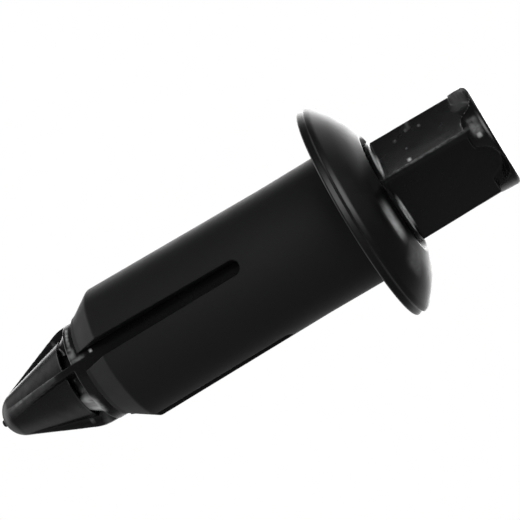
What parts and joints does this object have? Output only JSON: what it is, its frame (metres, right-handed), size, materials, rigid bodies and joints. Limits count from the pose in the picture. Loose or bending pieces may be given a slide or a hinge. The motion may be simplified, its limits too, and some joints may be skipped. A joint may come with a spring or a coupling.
{
  "type": "plastic push rivet",
  "caption": "Black plastic push rivet: domed flange on a slotted barrel with flexing legs, and a sliding pin with a ribbed tapered tip that spreads them when pushed in.",
  "frame": {"origin": "centre of the flange's seating face, on the rivet's axis", "axes": "+Z along the axis from the flange towards the pin's nose; the four slots lie on +X, +Y, -X and -Y"},
  "size_m": [0.0126, 0.0126, 0.0315],
  "materials": {
    "sleeve_plastic": "satin as moulded",
    "pin_plastic": "semi-gloss as moulded"
  },
  "bodies": {
    "sleeve": {"sleeve": "sleeve_plastic"},
    "push_pin": {"push_pin": "pin_plastic"}
  },
  "joints": [
    {"name": "push", "type": "slide", "parent": "sleeve", "child": "push_pin", "axis": [0, 0, 1], "range_m": [0, 0.0061]}
  ]
}
